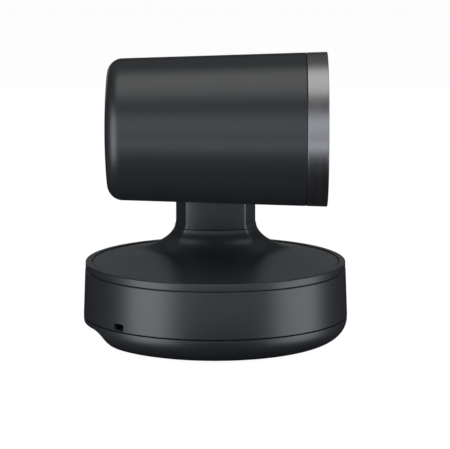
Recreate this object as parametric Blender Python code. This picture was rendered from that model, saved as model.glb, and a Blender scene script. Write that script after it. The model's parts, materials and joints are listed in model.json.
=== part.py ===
"""Pan-tilt-zoom conference camera: a round base, a side arm on a turntable, and a drum-shaped head.

The frame is in metres, +Z up, with the origin at the bottom centre. The lens looks along +X, and the
tilt axis runs along Y through the arm, which stands on the +Y side of the head.
"""
import math

import bmesh
import bpy

MM = 0.001
GAP = 0.3 * MM

# Base: bowl-shaped bottom cover, straight band, rim ring.
FOOT_HEIGHT = 1.5 * MM
BOWL_FLAT_R = 58.3 * MM
BOWL_TOP_R = 76.0 * MM
BOWL_TOP_Z = 15.9 * MM
BOWL_POWER = 2.23
BAND_BOTTOM_Z = 16.4 * MM
BAND_BOTTOM_R = 76.0 * MM
BAND_MIDDLE_Z = 29.5 * MM
BAND_MIDDLE_R = 75.5 * MM
BAND_TOP_Z = 43.0 * MM
BAND_TOP_R = 75.0 * MM
WALL = 2.4 * MM
RIM_OUTER_R = 74.8 * MM
RIM_INNER_R = 71.25 * MM
RIM_TOP_Z = 47.6 * MM

# Turntable disc and the neck that flares out of it.
DISC_R = 70.9 * MM
DISC_TOP_Z = 47.2 * MM
DISC_BOTTOM_Z = 45.0 * MM
NECK_HALF_WIDTH = 23.4 * MM
NECK_NEAR_Y = 33.2 * MM
NECK_FAR_Y = 57.2 * MM
NECK_CROWN_HALF = 16.5 * MM
NECK_CROWN = 2.6 * MM
NECK_SHOULDER_R = 2.5 * MM
NECK_CHAMFER = math.radians(60)
NECK_SIDE_R = 9.0 * MM
NECK_FAR_CORNER = 3.0 * MM
NECK_SEAM_Z = 58.8 * MM
FLARE_SIDE = 25.5 * MM
FLARE_FACE = 22.0 * MM
FLARE_SIDE_TOP_Z = 62.7 * MM
FLARE_LIMIT_R = 68.5 * MM
FLARE_BOTTOM_Z = DISC_TOP_Z + 0.1 * MM
ARM_SPLIT_Y = 50.0 * MM

# Head: a slightly tapered drum whose axis is parallel to X.
TILT_Z = 125.2 * MM
LENS_Y = -12.0 * MM
HEAD_FRONT_X = 63.5 * MM
HEAD_FRONT_R = 44.0 * MM
HEAD_TAPER = 0.0315
HEAD_REAR_X = -62.8 * MM
HEAD_REAR_DOME = 1.4 * MM
HEAD_REAR_CORNER = 9.0 * MM
BEZEL_SEAM_X = 51.5 * MM
HEAD_WALL = 2.2 * MM
HUB_R = 14.0 * MM

# Shafts and gears.
PAN_SHAFT_R = 12.0 * MM
PAN_GEAR_TEETH = 36
PAN_PINION_TEETH = 12
PAN_MODULE = 1.2 * MM
PAN_CENTRES = (PAN_GEAR_TEETH + PAN_PINION_TEETH) * PAN_MODULE / 2
TILT_SHAFT_R = 7.0 * MM
TILT_GEAR_TEETH = 32
TILT_PINION_TEETH = 12
TILT_MODULE = 0.9 * MM
TILT_CENTRES = (TILT_GEAR_TEETH + TILT_PINION_TEETH) * TILT_MODULE / 2
PRESSURE_ANGLE = math.radians(25)
BACKLASH = 0.2 * MM
PINION_SHAFT_R = 1.5 * MM

# Cable recess, ports and small openings.
RECESS_DEEP_X = -48.0 * MM
RECESS_CEILING_Z = 12.7 * MM
RECESS_TOP_HALF = 28.0 * MM
RECESS_FOOT_HALF = 44.0 * MM
PORT_Z = 7.8 * MM
PORT_PLATE_HALF = 26.0 * MM
SLOT_AZIMUTH = math.radians(224.4)
SLOT_Z = 18.9 * MM
SCREW_X = 30.0 * MM
SCREW_Y = 44.0 * MM
FOOT_OFFSET = 32.5 * MM
ARM_SCREW_Z = (70.0 * MM, 90.0 * MM)

# Facets of a full turn.
WIDE = 48
MIDDLE = 24
SMALL = 12

ALONG_X = (0.0, math.pi / 2, 0.0)
ALONG_Y = (-math.pi / 2, 0.0, 0.0)
STANDING = (math.pi / 2, 0.0, 0.0)


# ---------------------------------------------------------------- outlines

def arc(centre, radii, start, end, steps):
    """Points of an elliptic arc; angles in degrees."""
    points = []
    for step in range(steps + 1):
        angle = math.radians(start + (end - start) * step / steps)
        points.append((centre[0] + radii[0] * math.cos(angle), centre[1] + radii[1] * math.sin(angle)))
    return points


def rounded_rectangle(width, height, radius, steps=4):
    """Outline of a rectangle with round corners, centred on the origin."""
    x = width / 2 - radius
    y = height / 2 - radius
    corners = ((x, y, 0), (-x, y, 90), (-x, -y, 180), (x, -y, 270))
    points = []
    for corner_x, corner_y, start in corners:
        points += arc((corner_x, corner_y), (radius, radius), start, start + 90, steps)
    return points


def bend(x, y, radius, start, end, steps):
    """Round stretch of the neck's section as (x, y, azimuth), azimuth turning from -Y towards +X."""
    points = []
    for step in range(steps + 1):
        azimuth = start + (end - start) * step / steps
        points.append((x + radius * math.sin(azimuth), y - radius * math.cos(azimuth), azimuth))
    return points


def neck_side():
    """Near side of the neck's section: crown, shoulder, chamfer and round corner."""
    crown_r = (NECK_CROWN_HALF ** 2 + NECK_CROWN ** 2) / (2 * NECK_CROWN)
    lean = math.asin(NECK_CROWN_HALF / crown_r)
    crown = bend(0.0, NECK_NEAR_Y + crown_r, crown_r, 0.0, lean, 3)
    shoulder = bend(NECK_CROWN_HALF - NECK_SHOULDER_R * math.sin(lean),
                    NECK_NEAR_Y + NECK_CROWN + NECK_SHOULDER_R * math.cos(lean),
                    NECK_SHOULDER_R, lean, NECK_CHAMFER, 2)[1:]
    corner_x = NECK_HALF_WIDTH - NECK_SIDE_R
    chamfer_end_x = corner_x + NECK_SIDE_R * math.sin(NECK_CHAMFER)
    chamfer_end_y = shoulder[-1][1] + (chamfer_end_x - shoulder[-1][0]) * math.tan(NECK_CHAMFER)
    corner_y = chamfer_end_y + NECK_SIDE_R * math.cos(NECK_CHAMFER)
    return crown + shoulder + bend(corner_x, corner_y, NECK_SIDE_R, NECK_CHAMFER, math.pi / 2, 3)


def neck_outline():
    """Whole cross-section of the neck as (x, y, azimuth)."""
    far = bend(NECK_HALF_WIDTH - NECK_FAR_CORNER, NECK_FAR_Y - NECK_FAR_CORNER, NECK_FAR_CORNER,
               math.pi / 2, math.pi, 3)
    right = neck_side() + far
    left = [(-x, y, -azimuth) for x, y, azimuth in reversed(right[1:])]
    return right + left


def flare_share(z, top_z):
    """Share of the flare's full reach at a height: all of it at the disc, none from top_z up."""
    rise = (top_z - z) / (top_z - FLARE_BOTTOM_Z)
    rise = min(max(rise, 0.0), 1.0)
    return 1.0 - math.sqrt(1.0 - rise * rise)


def neck_ring(z):
    """The neck with its flare at a height; the flare is drawn in where it would pass the disc's edge."""
    ring = []
    for x, y, azimuth in neck_outline():
        reach_x = FLARE_SIDE * math.sin(azimuth)
        reach_y = -FLARE_FACE * math.cos(azimuth)
        square = reach_x ** 2 + reach_y ** 2
        along = x * reach_x + y * reach_y
        room = (math.sqrt(along ** 2 + square * (FLARE_LIMIT_R ** 2 - x ** 2 - y ** 2)) - along) / square
        room = min(room, 1.0)
        ring.append((x + reach_x * room * flare_share(z, FLARE_SIDE_TOP_Z),
                     y + reach_y * room * flare_share(z, NECK_SEAM_Z), z))
    return ring


def stadium(half_width, bottom_z, spread=0.0, steps=16):
    """Side-on outline of the arm as (x, z): legs that spread at the foot and a half circle on top."""
    right = []
    for step in range(4):
        z = bottom_z + (FLARE_SIDE_TOP_Z - bottom_z) * step / 3
        right.append((half_width + spread * flare_share(z, FLARE_SIDE_TOP_Z), z))
    left = [(-x, z) for x, z in reversed(right)]
    return left + right + arc((0.0, TILT_Z), (half_width, half_width), 0, 180, steps)


def gear_outline(teeth, module):
    """Outline of a spur gear with involute flanks and one tooth centred on +X."""
    pitch_r = teeth * module / 2
    base_r = pitch_r * math.cos(PRESSURE_ANGLE)
    root_r = pitch_r - 1.2 * module
    tip_r = pitch_r + 0.95 * module
    half_tooth = math.pi / (2 * teeth) - BACKLASH / (2 * pitch_r)

    def half_angle(radius):
        return half_tooth + involute(pitch_r / base_r) - involute(max(radius, base_r) / base_r)

    radii = [root_r, pitch_r, tip_r]
    if base_r > root_r:
        radii.insert(1, base_r)
    rising = [(radius, -half_angle(radius)) for radius in radii]
    falling = [(radius, -angle) for radius, angle in reversed(rising)]
    points = []
    for tooth in range(teeth):
        turn = 2 * math.pi * tooth / teeth
        for radius, angle in rising + falling:
            points.append((radius * math.cos(turn + angle), radius * math.sin(turn + angle)))
    return points


def involute(ratio):
    """Involute angle at a radius given as a multiple of the base radius."""
    roll = math.sqrt(max(ratio * ratio - 1.0, 0.0))
    return roll - math.atan(roll)


def bowl_radius(z):
    """Outer radius of the bowl-shaped bottom cover at a height."""
    depth = (BOWL_TOP_Z - z) / (BOWL_TOP_Z - FOOT_HEIGHT)
    spread = (1.0 - depth ** BOWL_POWER) ** (1.0 / BOWL_POWER)
    return BOWL_FLAT_R + (BOWL_TOP_R - BOWL_FLAT_R) * spread


def head_radius(x):
    """Outer radius of the drum at a distance along its axis."""
    return HEAD_FRONT_R - HEAD_TAPER * (HEAD_FRONT_X - x)


# ---------------------------------------------------------------- solids

def finish_mesh(name, shape):
    """Turn a bmesh into a mesh with its faces pointing out."""
    bmesh.ops.recalc_face_normals(shape, faces=shape.faces)
    mesh = bpy.data.meshes.new(name)
    shape.to_mesh(mesh)
    shape.free()
    mesh.shade_smooth()
    mesh.set_sharp_from_angle(angle=math.radians(32))
    return mesh


def turned(name, outline, segments, closed=True):
    """Spin an outline of (radius, height) points about Z; an open outline ends on the axis."""
    shape = bmesh.new()
    ring = [shape.verts.new((radius, 0.0, height)) for radius, height in outline]
    pairs = list(zip(ring, ring[1:]))
    if closed:
        pairs.append((ring[-1], ring[0]))
    edges = [shape.edges.new(pair) for pair in pairs]
    bmesh.ops.spin(shape, geom=ring + edges, cent=(0, 0, 0), axis=(0, 0, 1), angle=2 * math.pi,
                   steps=segments, use_merge=True)
    bmesh.ops.remove_doubles(shape, verts=shape.verts, dist=1e-6)
    return finish_mesh(name, shape)


def tube(name, inner, outer, low, high, segments):
    """A plain ring or sleeve."""
    return turned(name, [(outer, low), (outer, high), (inner, high), (inner, low)], segments)


def rod(name, radius, low, high, segments):
    """A plain round bar."""
    return turned(name, [(0.0, low), (radius, low), (radius, high), (0.0, high)], segments, closed=False)


def extruded(name, outline, low, high):
    """Extrude a flat (x, y) outline along Z."""
    return lofted(name, [[(x, y, low) for x, y in outline], [(x, y, high) for x, y in outline]])


def lofted(name, rings):
    """Join rings of matching points into one closed solid with flat ends."""
    shape = bmesh.new()
    rows = [[shape.verts.new(point) for point in ring] for ring in rings]
    for lower, upper in zip(rows, rows[1:]):
        for index in range(len(lower)):
            following = (index + 1) % len(lower)
            shape.faces.new((lower[index], lower[following], upper[following], upper[index]))
    shape.faces.new(list(reversed(rows[0])))
    shape.faces.new(rows[-1])
    return finish_mesh(name, shape)


def block(name, low, high):
    """A box between two corners."""
    outline = [(low[0], low[1]), (high[0], low[1]), (high[0], high[1]), (low[0], high[1])]
    return extruded(name, outline, low[2], high[2])


# ---------------------------------------------------------------- objects

def clear_scene():
    for item in list(bpy.data.objects):
        bpy.data.objects.remove(item, do_unlink=True)


def finish(name, colour, roughness, metallic=0.0):
    """A Principled material."""
    material = bpy.data.materials.new(name)
    material.use_nodes = True
    shader = material.node_tree.nodes["Principled BSDF"]
    shader.inputs["Base Color"].default_value = (*colour, 1.0)
    shader.inputs["Roughness"].default_value = roughness
    shader.inputs["Metallic"].default_value = metallic
    return material


def add_axis(name, location, parent=None):
    """An empty on a joint's axis, which the pieces of that body are parented to."""
    empty = bpy.data.objects.new(name, None)
    empty.location = location
    empty.parent = parent
    bpy.context.scene.collection.objects.link(empty)
    return empty


def add(mesh, parent, material, location=(0.0, 0.0, 0.0), rotation=(0.0, 0.0, 0.0)):
    """Place a mesh as a named object under an axis."""
    piece = bpy.data.objects.new(mesh.name, mesh)
    piece.location = location
    piece.rotation_euler = rotation
    piece.parent = parent
    mesh.materials.append(material)
    bpy.context.scene.collection.objects.link(piece)
    return piece


def combine(piece, operation, mesh, location=(0.0, 0.0, 0.0), rotation=(0.0, 0.0, 0.0)):
    """Cut a hidden shape from a piece, or join it on, in the frame of the piece's parent."""
    guide = bpy.data.objects.new(mesh.name, mesh)
    guide.location = location
    guide.rotation_euler = rotation
    guide.parent = piece.parent
    guide.hide_render = True
    guide.display_type = 'WIRE'
    bpy.context.scene.collection.objects.link(guide)
    modifier = piece.modifiers.new(mesh.name, 'BOOLEAN')
    modifier.operation = operation
    modifier.solver = 'EXACT'
    modifier.object = guide
    return guide


def cut(piece, mesh, **place):
    return combine(piece, 'DIFFERENCE', mesh, **place)


def join(piece, mesh, **place):
    return combine(piece, 'UNION', mesh, **place)


# ---------------------------------------------------------------- base

def base_housing(root, look):
    """Band of the base: an upside-down cup with a boss for the pan bearing."""
    deck = BAND_TOP_Z - 2.5 * MM
    boss_bottom = 34.0 * MM
    boss_r = 17.0 * MM
    outline = [
        (BAND_BOTTOM_R, BAND_BOTTOM_Z), (BAND_MIDDLE_R, BAND_MIDDLE_Z), (BAND_TOP_R, BAND_TOP_Z - 0.5 * MM),
        (BAND_TOP_R - 0.5 * MM, BAND_TOP_Z), (boss_r, BAND_TOP_Z), (boss_r, boss_bottom),
        (boss_r + 2.5 * MM, boss_bottom), (boss_r + 2.5 * MM, deck), (BAND_TOP_R - WALL, deck),
        (BAND_BOTTOM_R - WALL, BAND_BOTTOM_Z)]
    housing = add(turned("base_housing", outline, WIDE), root, look)
    slot_hole = block("slot_hole", (-6 * MM, -3.7 * MM, -1.75 * MM), (6 * MM, 3.7 * MM, 1.75 * MM))
    cut(housing, slot_hole, location=on_band(SLOT_AZIMUTH, 75 * MM, SLOT_Z), rotation=(0, 0, SLOT_AZIMUTH))
    light_hole = block("light_hole", (70 * MM, -4.3 * MM, 28.7 * MM), (80 * MM, 4.3 * MM, 31.3 * MM))
    cut(housing, light_hole)


def on_band(azimuth, radius, z):
    """A point at an azimuth and radius from the base's axis."""
    return (radius * math.cos(azimuth), radius * math.sin(azimuth), z)


def rim_ring(root, look):
    """Narrow ring around the turntable disc."""
    low = BAND_TOP_Z + GAP
    edge = 0.5 * MM
    outline = [(RIM_OUTER_R, low), (RIM_OUTER_R, RIM_TOP_Z - edge), (RIM_OUTER_R - edge, RIM_TOP_Z),
               (RIM_INNER_R + edge, RIM_TOP_Z), (RIM_INNER_R, RIM_TOP_Z - edge), (RIM_INNER_R, low)]
    add(turned("rim_ring", outline, WIDE), root, look)


def recess_outline():
    """Arch of the cable recess as (y, z), seen from behind."""
    arch_y = 11.5 * MM
    arch_z = 7.7 * MM
    spring_z = RECESS_CEILING_Z - arch_z
    right = arc((RECESS_TOP_HALF, spring_z), (arch_y, arch_z), 0, 90, 5)
    left = [(-y, z) for y, z in reversed(right)]
    return [(RECESS_FOOT_HALF, -2 * MM)] + right + left + [(-RECESS_FOOT_HALF, -2 * MM)]


def bottom_cover(root, look):
    """Bowl under the base, with an arched cable recess at the rear and holes for what it carries."""
    floor_top = FOOT_HEIGHT + 2.2 * MM
    steps = 7
    heights = [FOOT_HEIGHT + (BOWL_TOP_Z - FOOT_HEIGHT) * (step / steps) ** 1.8 for step in range(steps + 1)]
    outer = [(0.0, FOOT_HEIGHT)] + [(bowl_radius(z), z) for z in heights] + [(0.0, BOWL_TOP_Z)]
    cover = add(turned("bottom_cover", outer, WIDE, closed=False), root, look)

    inner = [(0.0, floor_top), (BOWL_FLAT_R - 1 * MM, floor_top)]
    inner += [(bowl_radius(z) - WALL, z) for z in (5 * MM, 8 * MM, 12 * MM)]
    inner += [(BOWL_TOP_R - WALL, 24 * MM), (0.0, 24 * MM)]
    hollow = cut(cover, turned("cover_hollow", inner, WIDE, closed=False))
    wall_x = RECESS_DEEP_X + WALL
    cut(hollow, block("port_block", (-90 * MM, -46 * MM, -5 * MM), (wall_x, 46 * MM, 30 * MM)))

    recess = [[(x, y, z) for y, z in recess_outline()] for x in (-90 * MM, RECESS_DEEP_X)]
    cut(cover, lofted("cable_recess", recess))
    half = PORT_PLATE_HALF + GAP
    cut(cover, block("port_window", (-52 * MM, -half, 3.7 * MM), (-40 * MM, half, 11.9 * MM)))
    cut(cover, rod("insert_hole", 8.3 * MM, 0.0, 5 * MM, MIDDLE))
    for side_x in (-1, 1):
        for side_y in (-1, 1):
            place = (side_x * SCREW_X, side_y * SCREW_Y, 0.0)
            cut(cover, stepped_rod("screw_hole", 3.0 * MM, 1.5 * MM, 0.0, 3.0 * MM, 8 * MM), location=place)
            place = (side_x * FOOT_OFFSET, side_y * FOOT_OFFSET, 0.0)
            cut(cover, rod("foot_pocket", 7.3 * MM, 0.0, 2.1 * MM, MIDDLE), location=place)


def stepped_rod(name, wide_r, narrow_r, low, step, high):
    """A wide disc with a narrow stem on it: a screw, or the hole for one."""
    outline = [(0.0, low), (wide_r, low), (wide_r, step), (narrow_r, step), (narrow_r, high), (0.0, high)]
    return turned(name, outline, SMALL, closed=False)


def feet_and_screws(root, rubber, steel):
    number = 0
    for side_x in (-1, 1):
        for side_y in (-1, 1):
            number += 1
            edge = 0.4 * MM
            outline = [(0.0, 0.0), (7 * MM - edge, 0.0), (7 * MM, edge), (7 * MM, 1.8 * MM), (0.0, 1.8 * MM)]
            foot = turned("foot_%d" % number, outline, MIDDLE, closed=False)
            add(foot, root, rubber, (side_x * FOOT_OFFSET, side_y * FOOT_OFFSET, 0.0))
            screw = stepped_rod("base_screw_%d" % number, 2.6 * MM, 1.2 * MM, 1.7 * MM, 2.7 * MM, 12 * MM)
            add(screw, root, steel, (side_x * SCREW_X, side_y * SCREW_Y, 0.0))


def base_frame(root, look):
    """Steel plate that carries the pan motor and bearing, on four hollow posts."""
    low = 21.5 * MM
    frame = add(tube("base_frame", 8.5 * MM, 66 * MM, low, low + 1.8 * MM, MIDDLE), root, look)
    cut(frame, rod("pinion_hole", 2.2 * MM, 20 * MM, 25 * MM, SMALL), location=(PAN_CENTRES, 0, 0))
    for side_x in (-1, 1):
        for side_y in (-1, 1):
            place = (side_x * SCREW_X, side_y * SCREW_Y, 0.0)
            join(frame, rod("post", 3.5 * MM, 4.0 * MM, low + 1.0 * MM, SMALL), location=place)
            cut(frame, rod("post_bore", 1.5 * MM, 2.0 * MM, 14 * MM, SMALL), location=place)


def tripod_insert(root, look):
    """Threaded insert, a plain bore here, with a flange inside the floor."""
    outline = [(3.1 * MM, 1.6 * MM), (8.0 * MM, 1.6 * MM), (8.0 * MM, 4.0 * MM), (10.0 * MM, 4.0 * MM),
               (10.0 * MM, 5.5 * MM), (5.5 * MM, 5.5 * MM), (5.5 * MM, 11.0 * MM), (3.1 * MM, 11.0 * MM)]
    add(turned("tripod_insert", outline, MIDDLE), root, look)


def ports(root, button_axis, looks):
    """Port plate in the recess, its sockets, and the sprung pairing button."""
    outer_x = RECESS_DEEP_X
    plate = add(block("port_plate", (outer_x, -PORT_PLATE_HALF, 4.0 * MM),
                      (outer_x + 2 * MM, PORT_PLATE_HALF, 11.6 * MM)), root, looks["black"])
    box_ports = (("hdmi_port", 3.0, 15.0, 5.6, 1.2), ("usb_port", 16.0, 9.0, 3.4, 0.8))
    for name, centre, width, height, tongue in box_ports:
        centre, width, height, tongue = (value * MM for value in (centre, width, height, tongue))
        rectangular_port(root, plate, looks["steel"], name, centre, width, height, tongue)
    round_ports = (("power_jack", -20.5, 3.3, 2.4), ("serial_port", -10.5, 3.4, 2.6))
    for name, centre, outer, inner in round_ports:
        place = (outer_x, centre * MM, PORT_Z)
        cut(plate, rod(name + "_hole", (outer + 0.3) * MM, -5 * MM, 5 * MM, SMALL), location=place,
            rotation=ALONG_X)
        pin = [(0.0, 0.6 * MM), (0.7 * MM, 0.6 * MM), (0.7 * MM, 7 * MM)]
        sleeve = [(inner * MM, 7 * MM), (inner * MM, -0.6 * MM), (outer * MM, -0.6 * MM),
                  (outer * MM, 9 * MM), (0.0, 9 * MM)]
        socket = turned(name, pin + sleeve, SMALL, closed=False)
        add(socket, root, looks["black"], place, ALONG_X)

    cut(plate, rod("button_hole", 2.1 * MM, -5 * MM, 5 * MM, SMALL),
        location=tuple(button_axis.location), rotation=ALONG_X)
    cap = [(0.0, -0.8 * MM), (1.5 * MM, -0.8 * MM), (1.8 * MM, -0.5 * MM), (1.8 * MM, 2.4 * MM),
           (2.8 * MM, 2.4 * MM), (2.8 * MM, 3.4 * MM), (0.0, 3.4 * MM)]
    cap_mesh = turned("pairing_button", cap, SMALL, closed=False)
    add(cap_mesh, button_axis, looks["button"], rotation=ALONG_X)


def rectangular_port(root, plate, look, name, centre, width, height, tongue):
    """A metal socket shell with a contact tongue across it, and its hole in the port plate."""
    outer_x = RECESS_DEEP_X
    hole = (width / 2 + GAP, height / 2 + GAP)
    cut(plate, block(name + "_hole", (outer_x - 5 * MM, centre - hole[0], PORT_Z - hole[1]),
                     (outer_x + 5 * MM, centre + hole[0], PORT_Z + hole[1])))
    half = (width / 2, height / 2)
    socket = add(block(name, (outer_x - 0.6 * MM, centre - half[0], PORT_Z - half[1]),
                       (outer_x + 9 * MM, centre + half[0], PORT_Z + half[1])), root, look)
    inner = (half[0] - 0.6 * MM, half[1] - 0.6 * MM)
    hollow = cut(socket, block(name + "_hollow",
                               (outer_x - 2 * MM, centre - inner[0], PORT_Z - inner[1]),
                               (outer_x + 7 * MM, centre + inner[0], PORT_Z + inner[1])))
    cut(hollow, block(name + "_tongue",
                      (outer_x + 0.8 * MM, centre - half[0] + 2 * MM, PORT_Z - tongue / 2),
                      (outer_x + 9 * MM, centre + half[0] - 2 * MM, PORT_Z + tongue / 2)))


def small_base_pieces(root, looks):
    """Lock-slot insert, status light and main board."""
    insert = add(block("security_slot_insert", (-2.0 * MM, -6 * MM, -2.7 * MM), (0.0, 6 * MM, 2.7 * MM)),
                 root, looks["steel"], on_band(SLOT_AZIMUTH, 72.3 * MM, SLOT_Z), (0, 0, SLOT_AZIMUTH))
    slot = block("lock_slot", (-4 * MM, -3.5 * MM, -1.5 * MM), (4 * MM, 3.5 * MM, 1.5 * MM))
    cut(insert, slot, location=on_band(SLOT_AZIMUTH, 71.3 * MM, SLOT_Z), rotation=(0, 0, SLOT_AZIMUTH))
    light = extruded("status_light", rounded_rectangle(2.0 * MM, 8.0 * MM, 0.9 * MM), 72.2 * MM, 75.2 * MM)
    add(light, root, looks["light"], (0, 0, 30 * MM), ALONG_X)
    board = block("main_board", (-44.5 * MM, -30 * MM, 12.6 * MM), (12 * MM, 30 * MM, 14.2 * MM))
    add(board, root, looks["board"])


def pan_drive(root, pinion_axis, turntable, looks):
    """Pan bearing and motor on the base, and the shaft and gear that turn on them."""
    add(tube("pan_bearing", PAN_SHAFT_R + GAP, 16.7 * MM, 34.5 * MM, 42.7 * MM, MIDDLE), root, looks["steel"])
    motor = [(0.0, 4.5 * MM), (12 * MM, 4.5 * MM), (12 * MM, 20 * MM), (5 * MM, 20 * MM), (5 * MM, 21.2 * MM),
             (1.8 * MM, 21.2 * MM), (1.8 * MM, 15 * MM), (0.0, 15 * MM)]
    place = (PAN_CENTRES, 0, 0)
    add(turned("pan_motor", motor, MIDDLE, closed=False), root, looks["motor"], place)
    half_pitch = math.pi / PAN_PINION_TEETH
    pinion = extruded("pan_pinion", gear_outline(PAN_PINION_TEETH, PAN_MODULE), 25.5 * MM, 31.5 * MM)
    pinion = add(pinion, pinion_axis, looks["brass"], rotation=(0, 0, half_pitch))
    join(pinion, rod("pan_pinion_shaft", PINION_SHAFT_R, 16 * MM, 32.2 * MM, SMALL))

    add(tube("pan_shaft", 8.5 * MM, PAN_SHAFT_R, 24 * MM, 43.1 * MM, MIDDLE), turntable, looks["steel"])
    gear = extruded("pan_gear", gear_outline(PAN_GEAR_TEETH, PAN_MODULE), 26 * MM, 31 * MM)
    gear = add(gear, turntable, looks["nylon"])
    cut(gear, rod("pan_gear_bore", PAN_SHAFT_R + GAP, 20 * MM, 40 * MM, MIDDLE))


# ---------------------------------------------------------------- turntable and arm

def turntable_cover(turntable, look):
    """Round disc with the flared lower neck standing on it."""
    edge = 0.4 * MM
    outline = [(0.0, DISC_BOTTOM_Z), (DISC_R, DISC_BOTTOM_Z), (DISC_R, DISC_TOP_Z - edge),
               (DISC_R - edge, DISC_TOP_Z), (0.0, DISC_TOP_Z)]
    cover = add(turned("turntable_cover", outline, WIDE, closed=False), turntable, look)
    rings = [neck_ring(DISC_BOTTOM_Z + 0.8 * MM)]
    steps = 6
    for step in range(steps + 1):
        rise = 1 - math.cos(math.radians(73) * step / steps)
        full_rise = 1 - math.cos(math.radians(73))
        rings.append(neck_ring(FLARE_BOTTOM_Z + (NECK_SEAM_Z - FLARE_BOTTOM_Z) * rise / full_rise))
    join(cover, lofted("neck_foot", rings))
    middle = (0.0, (NECK_NEAR_Y + NECK_FAR_Y) / 2, 0.0)
    channel = extruded("neck_channel", rounded_rectangle(34 * MM, 14 * MM, 4 * MM, 3), 40 * MM, 65 * MM)
    cut(cover, channel, location=middle)


def arm_rings(profile, bottom_z, spread=FLARE_SIDE):
    """Rings of the arm along Y, each a stadium, from a profile of (half width, y, azimuth)."""
    rings = []
    for half_width, y, azimuth in profile:
        outline = stadium(half_width, bottom_z, spread * math.sin(azimuth))
        rings.append([(x, y, z) for x, z in outline])
    return rings


def arm_shells(turntable, look):
    """Near half of the arm, open at the back and bottom, and the cover that closes it."""
    bottom = NECK_SEAM_Z + GAP
    wall = 2.2 * MM
    side = math.pi / 2
    tip = 1.5 * MM
    near = [(max(x, tip), y, azimuth) for x, y, azimuth in neck_side()]
    near.append((NECK_HALF_WIDTH, ARM_SPLIT_Y - GAP / 2, side))
    shell = add(lofted("arm_shell", arm_rings(near, bottom)), turntable, look)
    seat = rod("hub_seat", HUB_R + 1 * MM, NECK_NEAR_Y, NECK_NEAR_Y + NECK_CROWN + 1 * MM, MIDDLE)
    join(shell, seat, location=(0, 0, TILT_Z), rotation=ALONG_Y)
    inner = [(max(x - wall * math.sin(azimuth), tip), y + wall * math.cos(azimuth), azimuth)
             for x, y, azimuth in neck_side()]
    inner.append((NECK_HALF_WIDTH - wall, 70 * MM, side))
    cut(shell, lofted("arm_hollow", arm_rings(inner, 50 * MM, spread=0.0)))
    cut(shell, rod("shaft_hole", TILT_SHAFT_R + 2 * GAP, 20 * MM, 40 * MM, MIDDLE), location=(0, 0, TILT_Z),
        rotation=ALONG_Y)

    corner_y = NECK_FAR_Y - NECK_FAR_CORNER
    corner = bend(NECK_HALF_WIDTH - NECK_FAR_CORNER, corner_y, NECK_FAR_CORNER, side, math.pi, 3)
    far = [(NECK_HALF_WIDTH, ARM_SPLIT_Y + GAP / 2, side)] + corner
    cover = add(lofted("arm_cover", arm_rings(far, bottom)), turntable, look)
    pocket = [(NECK_HALF_WIDTH - wall, y, side) for y in (40 * MM, NECK_FAR_Y - wall)]
    cut(cover, lofted("cover_pocket", arm_rings(pocket, bottom + wall, spread=0.0)))
    for z in ARM_SCREW_Z:
        hole = stepped_rod("arm_screw_hole", 3.0 * MM, 1.5 * MM, -2 * MM, 1.3 * MM, 8 * MM)
        cut(cover, hole, location=(0, NECK_FAR_Y, z), rotation=STANDING)


def arm_frame(turntable, look):
    """Metal upright inside the arm: bored for the tilt bearing, the motor shaft and the cover's screws."""
    half = 14 * MM
    near_y = 44 * MM
    upright = extruded("arm_frame", stadium(half, DISC_BOTTOM_Z), -near_y - 3 * MM, -near_y)
    frame = add(upright, turntable, look, rotation=STANDING)
    holes = [("bearing_seat", 9.3 * MM, TILT_Z), ("motor_hole", 2.2 * MM, TILT_Z - TILT_CENTRES)]
    holes += [("cover_screw_hole", 1.5 * MM, z) for z in ARM_SCREW_Z]
    for name, radius, z in holes:
        cut(frame, rod(name, radius, 40 * MM, 50 * MM, SMALL if radius < 5 * MM else MIDDLE),
            location=(0, 0, z), rotation=ALONG_Y)


def arm_contents(turntable, pinion_axis, looks):
    """What the arm holds: motor, pinion, bearing, cover screws and cable harness; and the turntable plate."""
    motor = [(0.0, 37.0 * MM), (9 * MM, 37.0 * MM), (9 * MM, 43.6 * MM), (1.8 * MM, 43.6 * MM),
             (1.8 * MM, 40 * MM), (0.0, 40 * MM)]
    place = (0, 0, TILT_Z - TILT_CENTRES)
    add(turned("tilt_motor", motor, MIDDLE, closed=False), turntable, looks["motor"], place, ALONG_Y)
    bearing = tube("tilt_bearing", TILT_SHAFT_R + GAP, 9.0 * MM, 43.8 * MM, 47.3 * MM, MIDDLE)
    add(bearing, turntable, looks["steel"], (0, 0, TILT_Z), ALONG_Y)
    half_pitch = math.pi / TILT_PINION_TEETH
    pinion = extruded("tilt_pinion", gear_outline(TILT_PINION_TEETH, TILT_MODULE), 48 * MM, 52.6 * MM)
    turn = (-math.pi / 2, half_pitch, 0.0)
    pinion = add(pinion, pinion_axis, looks["brass"], rotation=turn)
    join(pinion, rod("tilt_pinion_shaft", PINION_SHAFT_R, 41 * MM, 53.4 * MM, SMALL), rotation=ALONG_Y)
    for number, z in enumerate(ARM_SCREW_Z, start=1):
        screw = stepped_rod("arm_screw_%d" % number, 2.6 * MM, 1.2 * MM, 0.2 * MM, 1.0 * MM, 12.6 * MM)
        add(screw, turntable, looks["steel"], (0, NECK_FAR_Y, z), STANDING)
    plate = tube("turntable_plate", 8.5 * MM, 60 * MM, 43.4 * MM, 44.7 * MM, MIDDLE)
    add(plate, turntable, looks["steel"])
    wiring_harness(turntable, looks["cable"])


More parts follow.
